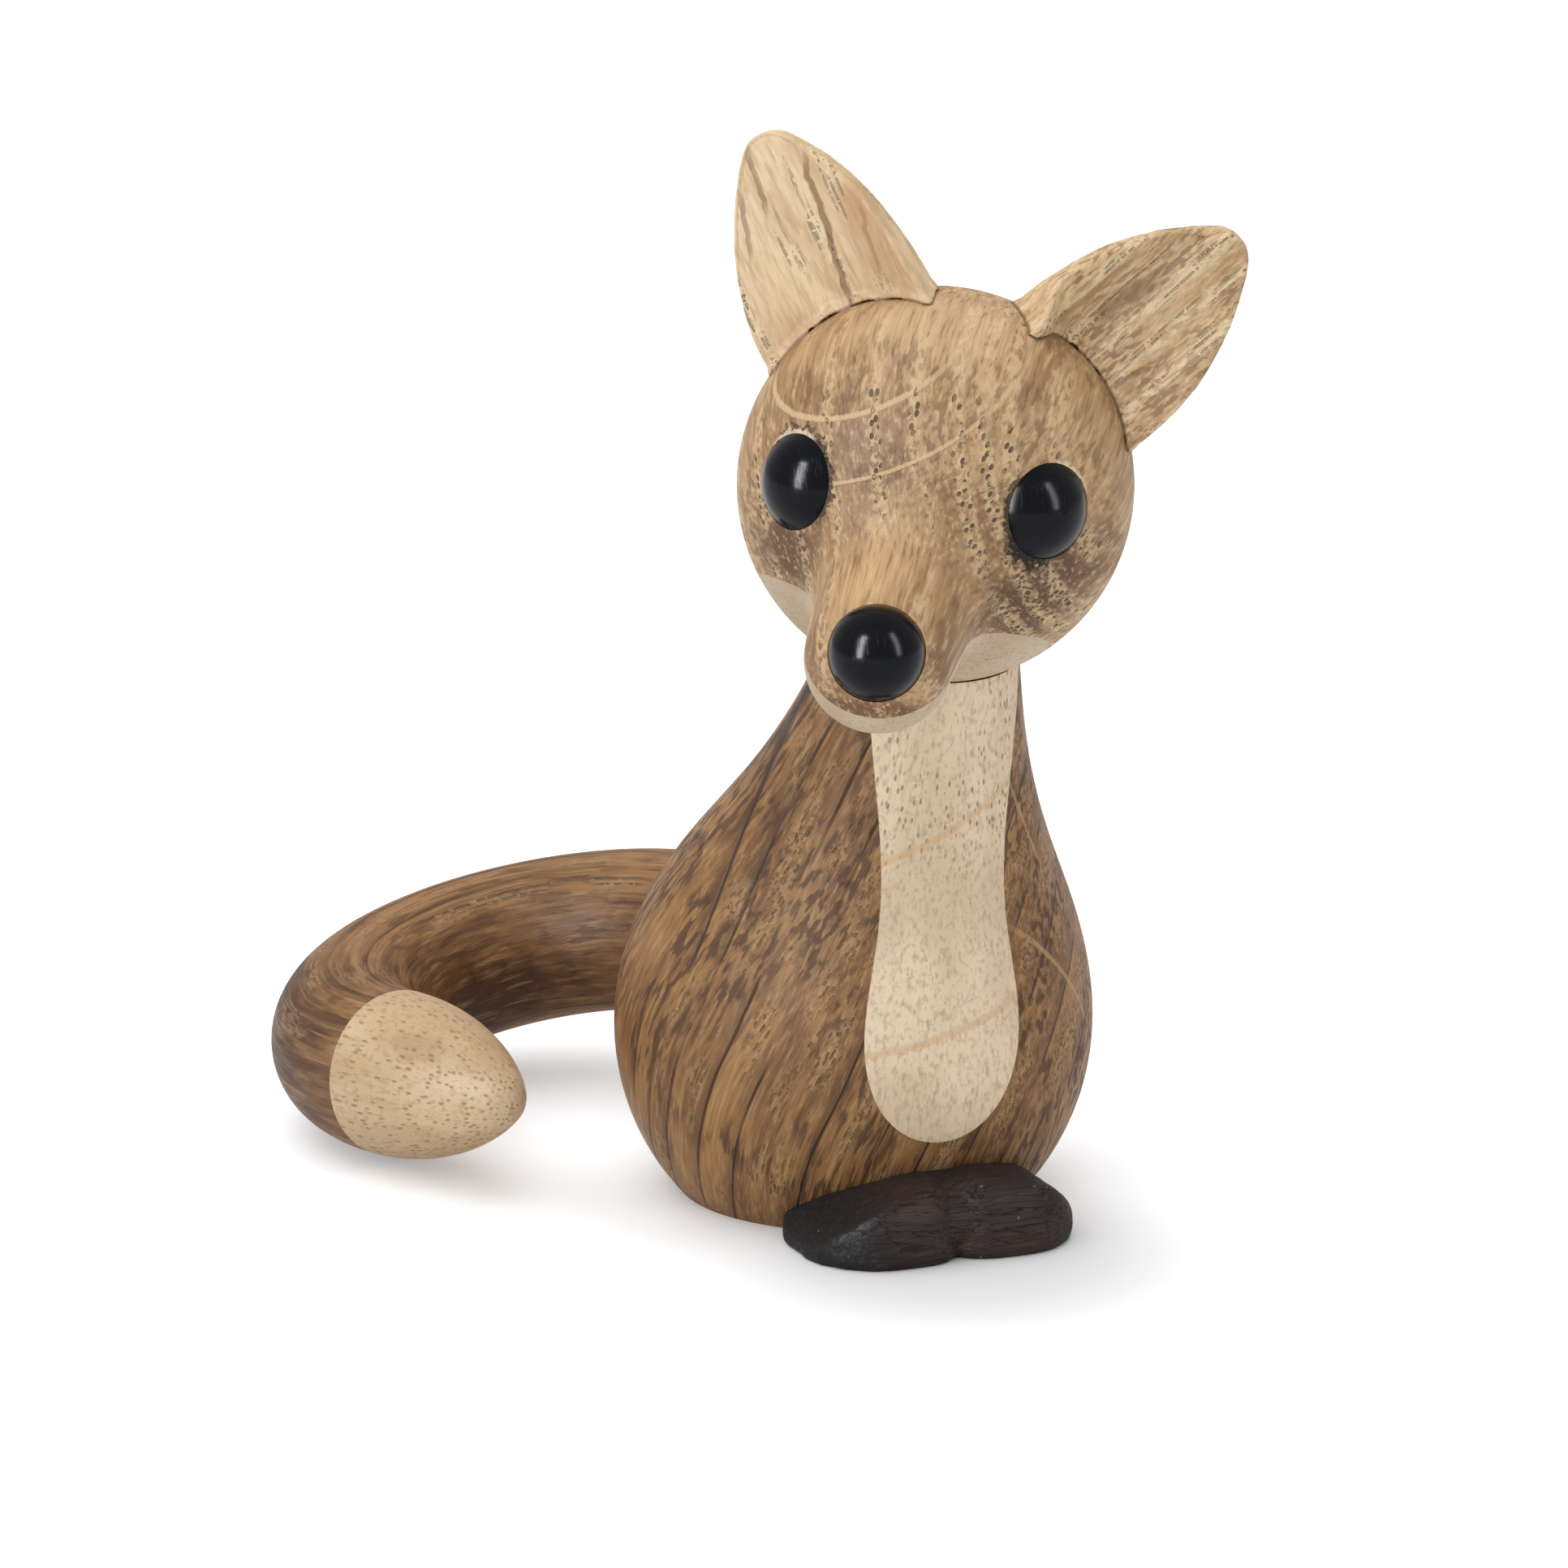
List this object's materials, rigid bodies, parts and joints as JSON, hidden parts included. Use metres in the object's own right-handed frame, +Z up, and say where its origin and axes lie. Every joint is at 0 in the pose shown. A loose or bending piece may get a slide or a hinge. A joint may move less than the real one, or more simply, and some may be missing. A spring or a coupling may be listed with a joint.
{
  "type": "fox figurine",
  "caption": "Small sitting fox of turned oak with pale maple inlays, glossy black eyes and nose, a head that turns on its neck dowel and a hooked tail that turns at its root.",
  "frame": {"origin": "on the flat underside of the torso, straight below the centre of the belly", "axes": "+Z up, -Y the way the torso faces, +X the fox's left"},
  "size_m": [0.0617, 0.0858, 0.0861],
  "materials": {
    "smoked_oak": "oiled satin, brown with darker streaks and open pores",
    "ear_oak": "oiled satin, lighter tan",
    "maple": "pale, finely flecked satin",
    "stained_oak": "very dark brown stain, matte",
    "beech": "plain dowel",
    "black_lacquer": "high gloss black"
  },
  "bodies": {
    "torso": {"torso": "smoked_oak", "chest_bib": "maple", "neck_dowel": "beech", "tail_dowel": "beech", "paws": "stained_oak"},
    "head": {"skull": "smoked_oak", "jaw": "maple", "left_ear": "ear_oak", "right_ear": "ear_oak", "left_eye": "black_lacquer", "right_eye": "black_lacquer", "nose": "black_lacquer"},
    "tail": {"tail": "smoked_oak", "tail_tip": "maple"}
  },
  "joints": [
    {"name": "neck_turn", "type": "hinge", "parent": "torso", "child": "head", "pos_m": [0, -0.016, 0.0595], "axis": [0, -0.2924, 0.9563], "continuous": true},
    {"name": "tail_turn", "type": "hinge", "parent": "torso", "child": "tail", "pos_m": [0, 0.0173, 0.0132], "axis": [0, 1, 0], "range_deg": [0, 200]}
  ]
}
